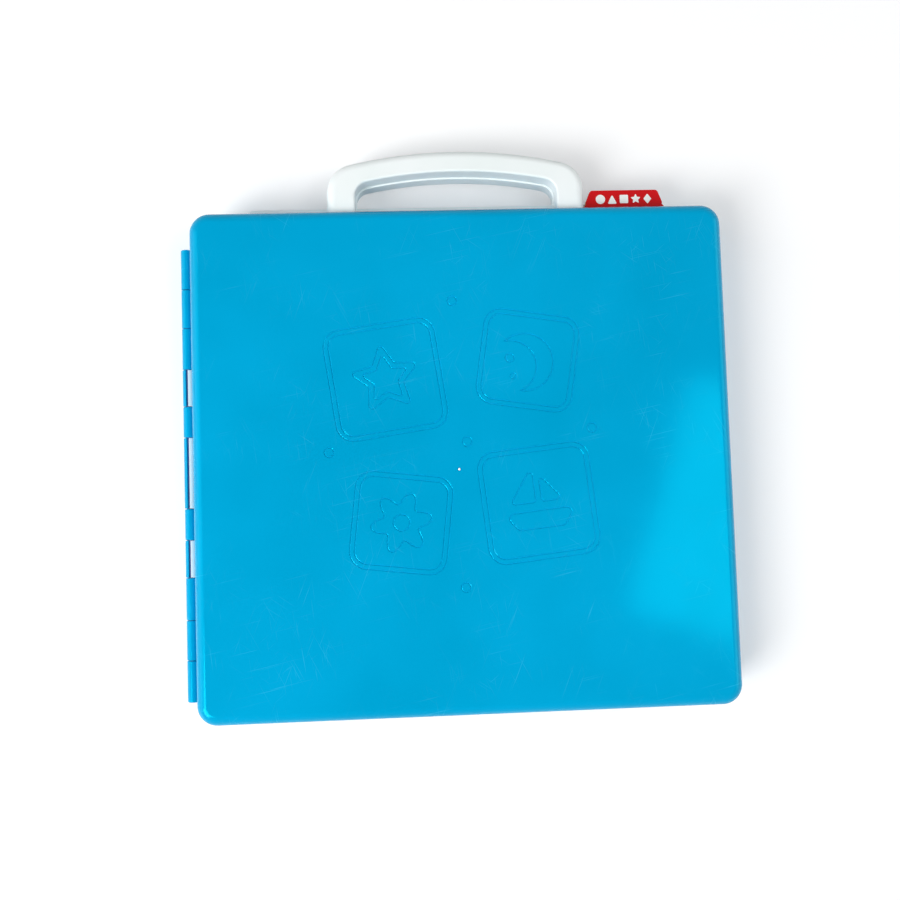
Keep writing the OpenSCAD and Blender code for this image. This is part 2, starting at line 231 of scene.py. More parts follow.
def times(tree, a, b):
    return add_node(tree, "ShaderNodeMath", {0: a, 1: b}, operation="MULTIPLY").outputs[0]


def larger(tree, a, b):
    return add_node(tree, "ShaderNodeMath", {0: a, 1: b}, operation="MAXIMUM").outputs[0]


def mixed(tree, factor, one, other):
    """A colour between two, by a factor."""
    blend = add_node(tree, "ShaderNodeMixRGB", {"Fac": factor, "Color1": one, "Color2": other})
    return blend.outputs[0]


# Hairlines of the blue covers: angle in degrees, length and width in millimetres, and how
# high the noise must rise for one. The widths are a little more than real ones, so that they show.
SCRATCHES = [(12, 26, 0.5, 0.76), (-35, 18, 0.45, 0.77), (68, 22, 0.45, 0.76),
             (97, 14, 0.4, 0.77), (-62, 30, 0.45, 0.77), (40, 12, 0.4, 0.77)]
BLUE_DEEP = "#009cce"
BLUE_PALE = "#02a3d7"


def moulded_blue():
    """Gloss ABS with a little cyan pearl pigment, moulded in a polished tool: its reflections are
    clear and tinted cyan. Hairlines from being carried about show paler and less glossy."""
    material, tree = empty_material("pearl_gloss_abs_cyan")
    where = add_node(tree, "ShaderNodeTexCoord").outputs["Object"]
    tone = patches(tree, where, 70, 0.35, 0.65)
    colour = mixed(tree, tone, linear(BLUE_DEEP), linear(BLUE_PALE))
    worn = patches(tree, where, 30, 0.42, 0.6)
    lines = None
    for angle, length, width, start in SCRATCHES:
        one = scratches(tree, where, angle, length, width, start)
        lines = one if lines is None else larger(tree, lines, one)
    lines = times(tree, lines, worn)
    colour = mixed(tree, times(tree, lines, 0.16), colour, linear("#4fc3ea"))
    rough = add_node(tree, "ShaderNodeMapRange", {"Value": lines, "To Min": 0.11, "To Max": 0.3})
    ripple = add_node(tree, "ShaderNodeTexNoise", {"Vector": where, "Scale": 1 / (9 * MM),
                                                   "Detail": 1.0})
    height = add_node(tree, "ShaderNodeMath", {0: times(tree, lines, -0.12),
                                               1: times(tree, ripple.outputs["Fac"], 0.25)},
                      operation="ADD")
    bump = add_node(tree, "ShaderNodeBump", {"Height": height.outputs[0], "Strength": 0.25,
                                             "Distance": 0.1 * MM})
    skin = add_node(tree, "ShaderNodeBsdfPrincipled",
                    {"Base Color": colour, "Roughness": rough.outputs[0],
                     "Normal": bump.outputs[0], "Metallic": 0.05, "IOR": 1.5,
                     "Specular IOR Level": 0.3, "Specular Tint": linear("#00ffd4")})
    add_node(tree, "ShaderNodeOutputMaterial", {"Surface": skin.outputs[0]})
    return material


def plastic(name, pale, deep, roughness, patch_mm=40, grain_mm=3, grain=0.15, gloss=0.5):
    """Plain moulded plastic: two close tones in soft patches under a faint ripple of the tool."""
    material, tree = empty_material(name)
    where = add_node(tree, "ShaderNodeTexCoord").outputs["Object"]
    tone = patches(tree, where, patch_mm, 0.35, 0.65)
    ripple = add_node(tree, "ShaderNodeTexNoise", {"Vector": where, "Scale": 1 / (grain_mm * MM),
                                                   "Detail": 2.0})
    bump = add_node(tree, "ShaderNodeBump", {"Height": ripple.outputs["Fac"], "Strength": grain,
                                             "Distance": 0.1 * MM})
    rough = add_node(tree, "ShaderNodeMapRange", {"Value": ripple.outputs["Fac"],
                                                  "To Min": roughness - 0.04,
                                                  "To Max": roughness + 0.06})
    skin = add_node(tree, "ShaderNodeBsdfPrincipled",
                    {"Base Color": mixed(tree, tone, linear(deep), linear(pale)),
                     "Roughness": rough.outputs[0], "Normal": bump.outputs[0], "IOR": 1.5,
                     "Specular IOR Level": gloss})
    add_node(tree, "ShaderNodeOutputMaterial", {"Surface": skin.outputs[0]})
    return material


def plated_steel():
    """Zinc-plated steel of the screws: a bright metal with the faint rings of its turning."""
    material, tree = empty_material("zinc_plated_steel")
    where = add_node(tree, "ShaderNodeTexCoord").outputs["Object"]
    cloud = patches(tree, where, 0.8, 0.3, 0.7)
    rough = add_node(tree, "ShaderNodeMapRange", {"Value": cloud, "To Min": 0.25, "To Max": 0.42})
    skin = add_node(tree, "ShaderNodeBsdfPrincipled",
                    {"Base Color": mixed(tree, cloud, linear("#aeb3b8"), linear("#c9cdd0")),
                     "Metallic": 1.0, "Roughness": rough.outputs[0]})
    add_node(tree, "ShaderNodeOutputMaterial", {"Surface": skin.outputs[0]})
    return material


CYAN = moulded_blue()
# Gloss ABS in white: the handle and the frame, clean and slightly cool
WHITE = plastic("gloss_abs_white", "#f4fafa", "#eff7f6", 0.32)
# Satin polystyrene of the tray and the card pocket
TRAY_WHITE = plastic("satin_polystyrene_white", "#f3f4f0", "#ecede8", 0.42)
# Acetal rod of the hinge, coloured dark navy as painted shade: the colour stands in for the shade in
# the hinge windows
PIN_NAVY_SHADE = plastic("acetal_rod_painted_shade_navy", "#0c4a8c", "#08386f", 0.3)
# Melamine tiles, ivory for consonants and red for vowels, and the pad-printed letters
IVORY = plastic("melamine_ivory", "#f8f3e2", "#f2ecd8", 0.28, 12)
VOWEL_RED = plastic("melamine_red", "#d52a30", "#c92128", 0.28, 12)
NAVY_INK = plastic("pad_print_navy", "#1b2f5e", "#172a55", 0.5, 6)
WHITE_INK = plastic("screen_print_white", "#f7f7f5", "#efefec", 0.45, 6)
STEEL = plated_steel()
# Coated board of the picture cards, dyed through, and the colours printed on it
CARD_COLOURS = [("red", "#cc040f", "#c4030c"), ("yellow", "#f5b41f", "#eeae18"),
                ("green", "#43a24b", "#3c9843"), ("purple", "#7d4ca6", "#75459c"),
                ("orange", "#ec712c", "#e56a25")]
CARD_BOARDS = [plastic(f"coated_board_{name}", pale, deep, 0.38, 30, 1.2, 0.1, 0.2)
               for name, pale, deep in CARD_COLOURS]
CREAM_PRINT = plastic("offset_print_cream", "#fdf6e3", "#faf1da", 0.4, 30, 1.2, 0.1)


def bevel(bm, edges, size, steps):
    bmesh.ops.bevel(bm, geom=edges, offset=size, offset_type="OFFSET", segments=steps,
                    profile=0.5, affect="EDGES", clamp_overlap=False, material=-1)


def flat_edges(bm, level):
    """Edges that lie at one height."""
    return [e for e in bm.edges if all(abs(v.co.z - level) < 1e-4 for v in e.verts)]


def slab(w, h, z0, z1, r=0.0, at=(0.0, 0.0), top=0.0, bottom=0.0, corner_steps=8, edge_steps=4):
    """A block with rounded corners, its top and bottom edges rounded where asked."""
    bm = bmesh.new()
    bmesh.ops.create_cube(bm, size=1)
    bmesh.ops.scale(bm, vec=(w, h, z1 - z0), verts=bm.verts)
    bmesh.ops.translate(bm, vec=(at[0], at[1], (z0 + z1) / 2), verts=bm.verts)
    if r:
        upright = [e for e in bm.edges if abs(e.verts[0].co.z - e.verts[1].co.z) > 1e-4]
        bevel(bm, upright, r, corner_steps)
    for level, size in ((z1, top), (z0, bottom)):
        if size:
            bevel(bm, flat_edges(bm, level), size, edge_steps)
    return bm


def block(x, y, z, soft=0.25):
    """A block between two values on each axis, with all its edges eased."""
    bm = slab(x[1] - x[0], y[1] - y[0], z[0], z[1], at=((x[0] + x[1]) / 2, (y[0] + y[1]) / 2))
    if soft:
        bevel(bm, list(bm.edges), soft, 2)
    return bm


def disc(x, y, z0, z1, r, top=0.0, steps=32):
    """A short round, its top edge rounded where asked."""
    bm = bmesh.new()
    bmesh.ops.create_cone(bm, segments=steps, radius1=r, radius2=r, depth=z1 - z0, cap_ends=True)
    bmesh.ops.translate(bm, vec=(x, y, (z0 + z1) / 2), verts=bm.verts)
    if top:
        bevel(bm, flat_edges(bm, z1), top, 3)
    return bm


def made(bm, name="part"):
    """An object holding a bmesh."""
    mesh = bpy.data.meshes.new(name)
    bm.to_mesh(mesh)
    bm.free()
    obj = bpy.data.objects.new(name, mesh)
    bpy.context.scene.collection.objects.link(obj)
    return obj


def taken(obj):
    """The evaluated mesh of an object as a bmesh. The object is removed."""
    bpy.context.view_layer.update()
    mesh = bpy.data.meshes.new_from_object(obj.evaluated_get(bpy.context.evaluated_depsgraph_get()))
    bm = bmesh.new()
    bm.from_mesh(mesh)
    bpy.data.meshes.remove(mesh)
    bpy.data.objects.remove(obj)
    return bm


def modified(bm, kind, **settings):
    """The bmesh after one modifier."""
    obj = made(bm)
    modifier = obj.modifiers.new(kind.lower(), kind)
    for name, value in settings.items():
        setattr(modifier, name, value)
    return taken(obj)


def joined(bms):
    """One bmesh of several."""
    whole = bmesh.new()
    for bm in bms:
        mesh = bpy.data.meshes.new("part")
        bm.to_mesh(mesh)
        bm.free()
        whole.from_mesh(mesh)
        bpy.data.meshes.remove(mesh)
    return whole


def cut(bm, *tools):
    """The bmesh less the tools."""
    tool = made(joined(tools), "tool")
    done = modified(bm, "BOOLEAN", object=tool, operation="DIFFERENCE", solver="EXACT",
                    use_self=True)
    bpy.data.objects.remove(tool)
    return done


def inked(bm, index):
    """The bmesh with all its faces in one material slot."""
    for face in bm.faces:
        face.material_index = index
    return bm


def moved(bm, x=0.0, y=0.0, z=0.0, turn=0.0):
    bmesh.ops.rotate(bm, cent=(0, 0, 0), matrix=Matrix.Rotation(math.radians(turn), 3, "Z"),
                     verts=bm.verts)
    bmesh.ops.translate(bm, vec=(x, y, z), verts=bm.verts)
    return bm


def turned_over(bm):
    """The bmesh mirrored in the middle plane of the case, with its faces still outwards."""
    for vert in bm.verts:
        vert.co.z = CASE_T - vert.co.z
    bmesh.ops.reverse_faces(bm, faces=bm.faces)
    return bm


def piece(name, bm, body, nodes, materials, sharp=32):
    """A finished piece in metres, shaded smooth but for its sharp edges, in place of CAD nodes."""
    bmesh.ops.scale(bm, vec=(MM, MM, MM), verts=bm.verts)
    obj = made(bm, name)
    for material in materials:
        obj.data.materials.append(material)
    obj.data.shade_smooth()
    obj.data.set_sharp_from_angle(angle=math.radians(sharp))
    weighted = obj.modifiers.new("weighted_normals", "WEIGHTED_NORMAL")
    weighted.keep_sharp = True
    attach(obj, body)
    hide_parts(*nodes)
    return obj


def arc(centre, radius, start, end, steps=16):
    """Points of an arc, its angles in degrees."""
    angles = [math.radians(start + (end - start) * i / steps) for i in range(steps + 1)]
    return [Vector(centre) + radius * Vector((math.cos(a), math.sin(a))) for a in angles]


def circle(centre, radius, steps=32):
    return arc(centre, radius, 0, 360, steps)[:-1]


def softened(points, radius, steps=5):
    """A closed outline with each corner turned into an arc, as far as its sides allow."""
    points = [Vector(p) for p in points]
    out = []
    for i, corner in enumerate(points):
        before = points[i - 1] - corner
        after = points[(i + 1) % len(points)] - corner
        half = before.angle(after) / 2
        reach = min(radius / math.tan(half), 0.48 * before.length, 0.48 * after.length)
        before.normalize()
        after.normalize()
        centre = corner + (before + after).normalized() * reach / math.cos(half)
        first = corner + before * reach - centre
        sweep = first.angle_signed(corner + after * reach - centre)
        for k in range(steps + 1):
            a = -sweep * k / steps
            out.append(centre + Matrix.Rotation(a, 2) @ first)
    return out


def rectangle(w, h, r, at=(0.0, 0.0), steps=8):
    x, y = at
    corners = [(x + w / 2, y + h / 2), (x - w / 2, y + h / 2),
               (x - w / 2, y - h / 2), (x + w / 2, y - h / 2)]
    return softened(corners, r, steps)


def spun(points, degrees, at):
    """An outline turned about the origin, then put in place."""
    turn = Matrix.Rotation(math.radians(degrees), 2)
    return [turn @ Vector(p) + Vector(at) for p in points]


def plate(outlines, z0, z1, edge=0.0, edge_steps=2):
    """A flat piece between two heights. Outlines inside another are holes, and edges are eased."""
    curve = bpy.data.curves.new("plate", "CURVE")
    curve.dimensions = "2D"
    curve.fill_mode = "BOTH"
    curve.extrude = (z1 - z0) / 2 - edge
    curve.bevel_depth = edge
    curve.bevel_resolution = edge_steps
    curve.offset = -edge
    for points in outlines:
        spline = curve.splines.new("POLY")
        spline.points.add(len(points) - 1)
        for point, place in zip(spline.points, points):
            point.co = (place[0], place[1], 0, 1)
        spline.use_cyclic_u = True
    obj = bpy.data.objects.new("plate", curve)
    bpy.context.scene.collection.objects.link(obj)
    bm = taken(obj)
    bmesh.ops.remove_doubles(bm, verts=bm.verts, dist=1e-4)
    bmesh.ops.recalc_face_normals(bm, faces=bm.faces)
    bmesh.ops.translate(bm, vec=(0, 0, (z0 + z1) / 2), verts=bm.verts)
    return bm


def rods(outlines, radius, z):
    """A round rod along each closed outline."""
    curve = bpy.data.curves.new("rods", "CURVE")
    curve.dimensions = "3D"
    curve.bevel_depth = radius
    curve.bevel_resolution = 2
    for points in outlines:
        spline = curve.splines.new("POLY")
        spline.points.add(len(points) - 1)
        for point, place in zip(spline.points, points):
            point.co = (place[0], place[1], z, 1)
        spline.use_cyclic_u = True
    obj = bpy.data.objects.new("rods", curve)
    bpy.context.scene.collection.objects.link(obj)
    bm = taken(obj)
    bmesh.ops.remove_doubles(bm, verts=bm.verts, dist=1e-4)
    bmesh.ops.recalc_face_normals(bm, faces=bm.faces)
    return bm


def star(outer, inner, points=5):
    out = []
    for i in range(2 * points):
        a = math.radians(90 + 180 * i / points)
        r = inner if i % 2 else outer
        out.append((r * math.cos(a), r * math.sin(a)))
    return out


def flower(radius, depth, petals, steps=96):
    """A petalled ring: the radius swells once for each petal."""
    out = []
    for i in range(steps):
        a = 2 * math.pi * i / steps
        r = radius + depth * math.cos(petals * a)
        out.append((r * math.cos(a), r * math.sin(a)))
    return out


def crescent(radius, bite, shift):
    """A moon: a round less a second round set aside from it."""
    across = (radius ** 2 - bite ** 2 + shift ** 2) / (2 * shift)
    tip = math.degrees(math.acos(across / radius))
    bite_tip = math.degrees(math.acos((across - shift) / bite))
    outside = arc((0, 0), radius, tip, 360 - tip, 28)
    inside = arc((shift, 0), bite, 360 - bite_tip, bite_tip, 24)
    return outside + inside[1:-1]


# The engraved design on the front: four blank tiles, each with a plain shape, and dots between
# Each line is a groove 0.35 deep and 0.9 wide, cut by a rod that lies a little above the face.
# A tile has its middle, its side and its turn in degrees.
ENGRAVED_R = 0.46
ENGRAVED_RISE = 0.11
DESIGN_TILES = [((-40.0, 42.0), 58.0, 8.0), ((34.0, 50.0), 50.0, -9.0),
                ((-34.0, -32.0), 50.0, -7.0), ((37.0, -24.0), 58.0, 6.0)]
DESIGN_DOTS = [(-4.5, 82.0), (-70.0, 5.0), (1.0, 8.5), (66.0, 14.0), (-2.0, -66.0)]


def front_design():
    tiles = []
    for at, side, turn in DESIGN_TILES:
        tiles.append(spun(rectangle(side, side, 9), turn, at))
        tiles.append(spun(rectangle(side - 5, side - 5, 6.5), turn, at))
    (a, _, turn_a), (b, _, turn_b), (c, _, turn_c), (d, _, turn_d) = DESIGN_TILES
    shapes = [
        spun(softened(star(19, 9.5), 1.6), turn_a, a),
        spun(softened(star(13, 6.5), 1.1), turn_a, a),
        spun(crescent(15, 13.5, 7.5), turn_b + 205, (b[0] - 2, b[1] - 1)),
        circle((b[0] - 9.5, b[1] + 1.5), 2.2, 20),
        circle((b[0] - 8.0, b[1] - 8.0), 1.4, 16),
        spun(flower(12.5, 3.2, 6), turn_c + 15, c),
        spun(circle((0, 0), 4.2, 28), 0, c),
        spun(softened([(-19, -4), (19, -4), (12, -13), (-12, -13)], 3), turn_d, d),
        spun(softened([(-1.5, 0.5), (-1.5, 19), (-15, 0.5)], 1.5), turn_d, d),
        spun(softened([(1.5, 0.5), (1.5, 15), (12.5, 0.5)], 1.5), turn_d, d),
    ]
    return tiles + shapes + [circle(at, 2.4, 20) for at in DESIGN_DOTS]


def cover_dish(steps=10):
    """A cover standing on its rim at z = 0: a dish with rounded corners and a full front edge."""
    bm = slab(2 * HALF_W, 2 * HALF_H, 0, FRAME_BOTTOM, CORNER_R, top=EDGE_R,
              corner_steps=12, edge_steps=steps)
    under = [f for f in bm.faces if f.calc_center_median().z < 1e-3]
    bmesh.ops.delete(bm, geom=under, context="FACES_ONLY")
    bm = modified(bm, "SOLIDIFY", thickness=WALL, offset=-1, use_even_offset=True)
    return modified(bm, "BEVEL", width=0.3, segments=2, limit_method="ANGLE",
                    angle_limit=math.radians(60))


def hinge_tube(y0, y1, inner, outer, soft=0.3, angles=None):
    """A bored barrel on the hinge axis, or a clip over some angles of it, in degrees."""
    bm = bmesh.new()
    corners = [(inner, y0), (outer - soft, y0), (outer, y0 + soft), (outer, y1 - soft),
               (outer - soft, y1), (inner, y1)]
    ring = [bm.verts.new((AXIS_X + r, y, MID_Z)) for r, y in corners]
    edges = [bm.edges.new((ring[i - 1], ring[i])) for i in range(len(ring))]
    start, end = angles or (0, 360)
    centre = (AXIS_X, 0, MID_Z)
    bmesh.ops.rotate(bm, cent=centre, matrix=Matrix.Rotation(math.radians(-start), 3, "Y"),
                     verts=bm.verts)
    bmesh.ops.spin(bm, geom=ring + edges, cent=centre, axis=(0, -1, 0), steps=36,
                   angle=math.radians(end - start), use_merge=angles is None)
    if angles:
        bmesh.ops.holes_fill(bm, edges=[e for e in bm.edges if e.is_boundary], sides=0)
    bmesh.ops.recalc_face_normals(bm, faces=bm.faces)
    return bm


def knuckles(stations, side):
    """Knuckles of one cover, side +1 in front and -1 behind, with the web that carries each."""
    parts = []
    for low, high in at_both_ends(stations):
        parts.append(hinge_tube(low, high, BORE_R, BARREL_R))
        parts.append(hinge_web(low, high, side))
    return parts


def at_both_ends(stations):
    """Ends of the hinge parts at some stations above and below the middle of the hinge."""
    pairs = [pair for y0, y1 in stations for pair in ((y0, y1), (-y1, -y0))]
    return [in_station(pair) for pair in pairs]


def in_station(pair):
    return HINGE_Y + pair[0] + KNUCKLE_GAP / 2, HINGE_Y + pair[1] - KNUCKLE_GAP / 2


def hinge_web(low, high, side):
    """The web that joins a knuckle or a cradle to its cover's wall."""
    level = sorted(MID_Z + side * up for up in WEB)
    return block((AXIS_X + BORE_R - 0.2, -HALF_W + 0.6), (low, high), level, 0.2)


def pin_windows():
    """Ends of the three stations where the pin shows between the covers' knuckles."""
    return [in_station(CENTRE_WINDOW)] + at_both_ends([SIDE_WINDOW])


# The moulding gate near the middle of the front: a small pale nub in a dimple
GATE_MARK = (-3.6, -5.6)
GATE_R = 1.1
NUB_R = 0.65


def make_front_cover():
    dish = moved(cover_dish(), z=FRAME_TOP)
    notch = slab(NOTCH_X[1] - NOTCH_X[0], 6, FRAME_TOP - 1, NOTCH_TOP, 0.0,
                 at=(sum(NOTCH_X) / 2, HALF_H - 1))
    dimple = disc(*GATE_MARK, CASE_T - 0.25, CASE_T + 1, GATE_R, steps=20)
    dish = cut(dish, notch, rods(front_design(), ENGRAVED_R, CASE_T + ENGRAVED_RISE), dimple)
    nub = inked(disc(*GATE_MARK, CASE_T - 0.5, CASE_T - 0.05, NUB_R, 0.1, 16), 1)
    bm = joined([dish, nub] + knuckles(FRONT_KNUCKLES, 1))
    return piece("front_cover_shell", bm, "lid", ["front_cover"], [CYAN, WHITE])


# A plain groove goes round the back, this far from its edges
BACK_GROOVE_IN = 17.0
BACK_GROOVE_R = 0.6


def make_back_cover():
    border = rods([rectangle(2 * HALF_W - 2 * BACK_GROOVE_IN, 2 * HALF_H - 2 * BACK_GROOVE_IN, 10)],
                  BACK_GROOVE_R, CASE_T + 0.05)
    dish = cut(moved(cover_dish(), z=FRAME_TOP), border)
    cradles = []
    for low, high in pin_windows():
        cradles.append(hinge_tube(low, high, BORE_R, BARREL_R, 0.2, CRADLE_ANGLES))
        cradles.append(hinge_web(low, high, -1))
    bm = joined([turned_over(dish)] + knuckles(BACK_KNUCKLES, -1) + cradles)
    return piece("back_cover_shell", bm, "base", ["back_cover"], [CYAN])


def handle_edge(x, arc_r, shoulder_r, foot_y, steps=10):
    """An edge of the handle, from the foot of its right leg over the grip to its left foot."""
    centre_x = x - shoulder_r
    centre_y = GRIP_Y + math.sqrt((arc_r - shoulder_r) ** 2 - centre_x ** 2)
    turn = 90 - math.degrees(math.asin(centre_x / (arc_r - shoulder_r)))
    shoulder = arc((centre_x, centre_y), shoulder_r, 0, turn, steps)
    grip = arc((0, GRIP_Y), arc_r, turn, 90, steps)
    half = [Vector((x, foot_y))] + shoulder + grip[1:]
    return half + [Vector((-p.x, p.y)) for p in reversed(half[:-1])]


def handle_outline(out, foot_y):
    """Outer and inner edges of the handle, moved outwards by a little."""
    outer = handle_edge(LEG_X + out, GRIP_ARC_R + out, OUTER_SHOULDER_R + out, foot_y)
    inner = handle_edge(LEG_X - LEG_W - out, GRIP_ARC_R - GRIP_W - out, INNER_SHOULDER_R - out,
                        foot_y)
    return outer, inner


def handle_side(edge):
    """Which edge of the handle it is on: +1 for the outer one, -1 for the inner one."""
    middle = (edge.verts[0].co + edge.verts[1].co) / 2
    out_of_grip = math.hypot(middle.x, middle.y - GRIP_Y) > GRIP_ARC_R - GRIP_W / 2
    return 1 if out_of_grip or abs(middle.x) > LEG_X - LEG_W / 2 else -1


def handle_half(depth, foot_y):
    """One shell of the handle, standing on its joint face at z = 0, with its top edges rounded."""
    outer, inner = handle_outline(0.0, foot_y)
    bm = bmesh.new()
    base = bm.faces.new([bm.verts.new((p.x, p.y, 0)) for p in outer + list(reversed(inner))])
    done = bmesh.ops.extrude_face_region(bm, geom=[base])
    bmesh.ops.translate(bm, vec=(0, 0, depth),
                        verts=[v for v in done["geom"] if isinstance(v, bmesh.types.BMVert)])
    bmesh.ops.recalc_face_normals(bm, faces=bm.faces)
    for side, size in ((1, OUTER_ROUND), (-1, INNER_ROUND)):
        rim = [e for e in flat_edges(bm, depth)
               if any(v.co.y > foot_y + 0.01 for v in e.verts) and handle_side(e) == side]
        bevel(bm, rim, size, 8)
    low_edge = [e for e in flat_edges(bm, 0) if any(v.co.y > foot_y + 0.01 for v in e.verts)]
    bevel(bm, low_edge, 0.25, 2)
    return bm


def make_handle():
    foot = HALF_H + 0.4
    front = moved(handle_half(HANDLE_HIGH.z - FRAME_TOP, foot), z=FRAME_TOP)
    piece("handle_front_shell", front, "base", ["handle_front"], [WHITE])
    depth = FRAME_BOTTOM - HANDLE_BACK_LOW.z
    back = moved(handle_half(depth, foot), z=FRAME_TOP)
    recesses = [disc(x, y, FRAME_TOP + depth - HANDLE_RECESS, FRAME_TOP + depth + 1, 3.0)
                for x, y in HANDLE_SCREWS]
    back = turned_over(cut(back, *recesses))
    piece("handle_back_shell", back, "base", ["handle_back"], [WHITE])


def post_places():
    return [(side * POST_X, y) for side in (-1, 1) for y in POST_Y]


def make_middle_frame():
    """The white frame: a rim with its opening, the flange, the handle's core and the pin clips."""
    outer, inner = handle_outline(SEAM_PROUD, FLANGE_TOP)
    corner = HALF_W - CORNER_R, HALF_H - CORNER_R
    silhouette = (
        arc(corner, CORNER_R, 0, 90, 8) + [Vector((FLANGE_X[1], HALF_H))]
        + arc((FLANGE_X[1] - FLANGE_R, FLANGE_TOP - FLANGE_R), FLANGE_R, 0, 90, 4) + outer
        + arc((FLANGE_X[0] + FLANGE_R, FLANGE_TOP - FLANGE_R), FLANGE_R, 90, 180, 4)
        + [Vector((FLANGE_X[0], HALF_H))]
        + arc((-corner[0], corner[1]), CORNER_R, 90, 180, 8)
        + arc((-corner[0], -corner[1]), CORNER_R, 180, 270, 8)
        + arc((corner[0], -corner[1]), CORNER_R, 270, 360, 8))
    holes = [circle(at, POST_HOLE_R, 24) for at in post_places()]
    rim = plate([silhouette, inner, rectangle(*OPENING)] + holes, FRAME_BOTTOM, FRAME_TOP, 0.25)
    bead = plate([rectangle(2 * (HALF_W - inset), 2 * (HALF_H - inset), CORNER_R - inset)
                  for inset in (WALL + BEAD_GAP, WALL + BEAD_GAP + BEAD_W)],
                 FRAME_TOP - 0.3, FRAME_TOP + BEAD_H, 0.2)
    bead = cut(bead, slab(NOTCH_X[1] - NOTCH_X[0] + 4, 12, FRAME_TOP - 1, CASE_T,
                          at=(sum(NOTCH_X) / 2, HALF_H - 5)))
    parts = [rim, bead]
    for low, high in pin_windows():
        parts.append(hinge_tube(low, high, BORE_R, BARREL_R, 0.2, CLIP_ANGLES))
        parts.append(block((AXIS_X + BORE_R + 0.2, -HALF_W + 1), (low, high),
                           (FRAME_BOTTOM, FRAME_TOP), 0.2))
    return piece("frame_and_handle_core", joined(parts), "base",
                 ["middle_frame"], [WHITE])


def make_hinge_pin():
    low, high = node_box("hinge_pin")
    rod = disc(0, 0, low.y, high.y, PIN_R, 0.6)
    bmesh.ops.rotate(rod, cent=(0, 0, 0), matrix=Matrix.Rotation(math.radians(-90), 3, "X"),
                     verts=rod.verts)
    bmesh.ops.translate(rod, vec=(AXIS_X, 0, MID_Z), verts=rod.verts)
    # The rod's dark navy is painted shade, standing in for the shade in the hinge windows
    return piece("hinge_pin_rod", rod, "base", ["hinge_pin"], [PIN_NAVY_SHADE])


def screw_head(x, y, z, r, height, depth, turn):
    """A round head with a cross recess, its top at z."""
    arm, half = 0.62 * r, 0.13 * r
    cross = [(arm, half), (half, half), (half, arm), (-half, arm), (-half, half), (-arm, half),
             (-arm, -half), (-half, -half), (-half, -arm), (half, -arm), (half, -half),
             (arm, -half)]
    crown = plate([circle((x, y), r, 28), spun(cross, turn, (x, y))], z - depth, z,
                  min(0.25, depth / 3))
    return [crown, disc(x, y, z - height, z - depth + 0.02, r * 0.98, steps=28)]


def screw_heads(places, z, head, first_turn, turn_step):
    """A head at each place, each turned further than the last, as a driver leaves them."""
    parts = []
    for i, (x, y) in enumerate(places):
        parts += screw_head(x, y, z, *head, first_turn + turn_step * i)
    return joined(parts)


def make_screws():
    heads = screw_heads(post_places(), FRAME_TOP - 0.1, FRAME_HEAD, 17, 37)
    piece("frame_screw_heads", heads, "base", ["frame_screws"], [STEEL])
    recess_z = HANDLE_BACK_LOW.z + HANDLE_RECESS
    heads = screw_heads(HANDLE_SCREWS, CASE_T - recess_z + 1.9, HANDLE_HEAD, 25, 41)
    piece("handle_screw_heads", turned_over(heads), "base", ["handle_screws"],
          [STEEL])
    low, high = node_box("pocket_screws")
    head_r = POCKET_HEAD[0]
    places = [(x, y) for x in (low.x + head_r, high.x - head_r)
              for y in (low.y + head_r, high.y - head_r)]
    heads = screw_heads(places, CASE_T - low.z, POCKET_HEAD, 12, 29)
    piece("pocket_screw_heads", turned_over(heads), "lid", ["pocket_screws"],
          [STEEL])


def make_tray():
    """The lift-out tray: a block under a thin lip, a well for each letter, a spelling channel."""
    body = slab(OPENING[0] - 1, OPENING[1] - 1, TRAY_LOW.z, TRAY_HIGH.z - 0.5, 7.5, bottom=1.0)
    lip = made(slab(2 * TRAY_HIGH.x, 2 * TRAY_HIGH.y, FRAME_TOP, TRAY_HIGH.z, 9.6, top=0.35,
                    edge_steps=2), "lip")
    body = modified(body, "BOOLEAN", object=lip, operation="UNION", solver="EXACT")
    bpy.data.objects.remove(lip)
    above = TRAY_HIGH.z + 1
    low_edge = -TRAY_HIGH.y
    tools = [slab(WELL_W, WELL_L, node_box("tile_a")[0].z, above, 3.0, at=at, bottom=0.8,
                  corner_steps=5, edge_steps=2) for at in well_places()]
    tools.append(slab(CHANNEL_L, WELL_W, TRAY_HIGH.z - CHANNEL_D, above, 3.0,
                      at=(0, low_edge + TRAY_LIP + CHANNEL_UP), bottom=0.8, corner_steps=5,
                      edge_steps=2))
    for side in (-1, 1):
        tools.append(slab(FINGER_DIP[0], FINGER_DIP[1], TRAY_HIGH.z - FINGER_DIP[2], above, 7.5,
                          at=(side * FINGER_DIP_AT[0], low_edge + FINGER_DIP_AT[1])))
    body = modified(cut(body, *tools), "BEVEL", width=0.35, segments=2, limit_method="ANGLE",
                    angle_limit=math.radians(50))
    return piece("tile_tray_moulding", body, "base", ["tile_tray"], [TRAY_WHITE])


def well_places():
    """Middles of the wells, in rows of nine: one for each letter, and a spare."""
    first, second = node_middle("tile_a"), node_middle("tile_b")
    below = node_middle("tile_j")
    return [(first.x + (i % COLUMNS) * (second.x - first.x),
             first.y + (i // COLUMNS) * (below.y - first.y)) for i in range(len(LETTERS) + 1)]


# The letter M is drawn here, because the font's own one fills wrongly once it is made bolder
LETTER_M = [(-7.6, -6.7), (-5.5, -6.7), (-5.5, 3.1), (0, -4.4), (5.5, 3.1), (5.5, -6.7),
            (7.6, -6.7), (7.6, 6.7), (5.9, 6.7), (0, -1.1), (-5.9, 6.7), (-7.6, 6.7)]
LETTER_SIZE = 19
INK_T = 0.03


